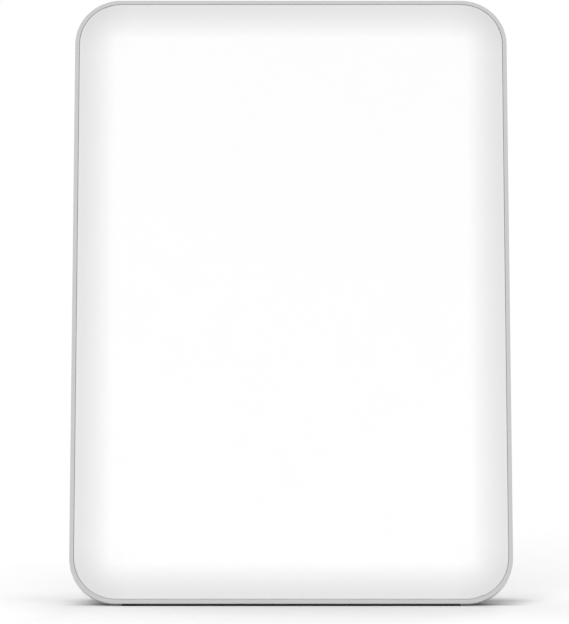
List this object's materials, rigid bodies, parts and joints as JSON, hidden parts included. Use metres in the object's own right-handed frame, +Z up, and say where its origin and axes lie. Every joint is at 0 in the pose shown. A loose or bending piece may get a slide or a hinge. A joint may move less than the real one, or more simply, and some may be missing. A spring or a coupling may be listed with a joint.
{
  "type": "light therapy lamp",
  "caption": "Slim upright light panel with a glowing opal front in a thin rounded frame, leaning back on a fold-out rear leg, with a power button and inlet behind.",
  "frame": {"origin": "on the table, under the middle of the lamp's box with its leg open", "axes": "+X to the right seen from the front, +Y behind the lamp, +Z up; the light shines towards -Y"},
  "size_m": [0.255, 0.1634, 0.3449],
  "materials": {
    "opal_acrylic": "satin",
    "frame_abs": "fine satin grain",
    "case_abs": "fine grain",
    "leg_abs": "fine grain",
    "button_abs": "satin",
    "foam": "matte",
    "black_rubber": "matte",
    "reflector_white": "matte",
    "white_board": "solder mask",
    "green_board": "solder mask",
    "led_resin": "gloss",
    "aluminium_sheet": "rolled",
    "insulating_film": "satin film",
    "zinc_steel": "zinc plated",
    "spring_steel": "bare",
    "ferrite": "matte",
    "capacitor_sleeve": "shrink sleeve",
    "black_epoxy": "satin",
    "connector_nylon": "satin",
    "inlet_plastic": "satin",
    "nickel_plate": "bright",
    "lead_pvc": "satin"
  },
  "bodies": {
    "panel": {"bus_board": "white_board", "case_screws": "zinc_steel", "detent_spring": "spring_steel", "detent_spring_screw": "zinc_steel", "diffuser": "opal_acrylic", "diffuser_gasket": "foam", "driver_board": "green_board", "driver_board_screws": "zinc_steel", "driver_capacitors": "capacitor_sleeve", "driver_chips": "black_epoxy", "driver_inductor": "ferrite", "front_foot_strip": "black_rubber", "front_frame": "frame_abs", "heat_plate": "aluminium_sheet", "inlet_pin": "nickel_plate", "insulating_sheet": "insulating_film", "led_bar_1": "white_board", "led_bar_2": "white_board", "led_bar_3": "white_board", "led_bar_4": "white_board", "led_bar_5": "white_board", "led_bar_6": "white_board", "led_bar_7": "white_board", "led_bar_8": "white_board", "led_connector": "connector_nylon", "led_lead": "lead_pvc", "leds_1": "led_resin", "leds_2": "led_resin", "leds_3": "led_resin", "leds_4": "led_resin", "leds_5": "led_resin", "leds_6": "led_resin", "leds_7": "led_resin", "leds_8": "led_resin", "pivot_screw_left": "zinc_steel", "pivot_screw_right": "zinc_steel", "power_inlet": "inlet_plastic", "push_switch": "black_epoxy", "rear_case": "case_abs", "reflector_tray": "reflector_white", "switch_board": "green_board", "switch_board_screws": "zinc_steel", "switch_connector": "connector_nylon", "switch_lead": "lead_pvc", "switch_socket": "connector_nylon"},
    "leg": {"stand_leg": "leg_abs", "stand_foot": "black_rubber"},
    "button": {"power_button": "button_abs", "switch_plunger": "black_epoxy"}
  },
  "joints": [
    {"name": "stand_fold", "type": "hinge", "parent": "panel", "child": "leg", "pos_m": [0, 0.0171, 0.18357], "axis": [1, 0, 0], "range_deg": [-38, 0]},
    {"name": "button_press", "type": "slide", "parent": "panel", "child": "button", "axis": [0, -0.9397, 0.342], "range_m": [0, 0.0008], "stiffness_N_per_m": 2500}
  ]
}
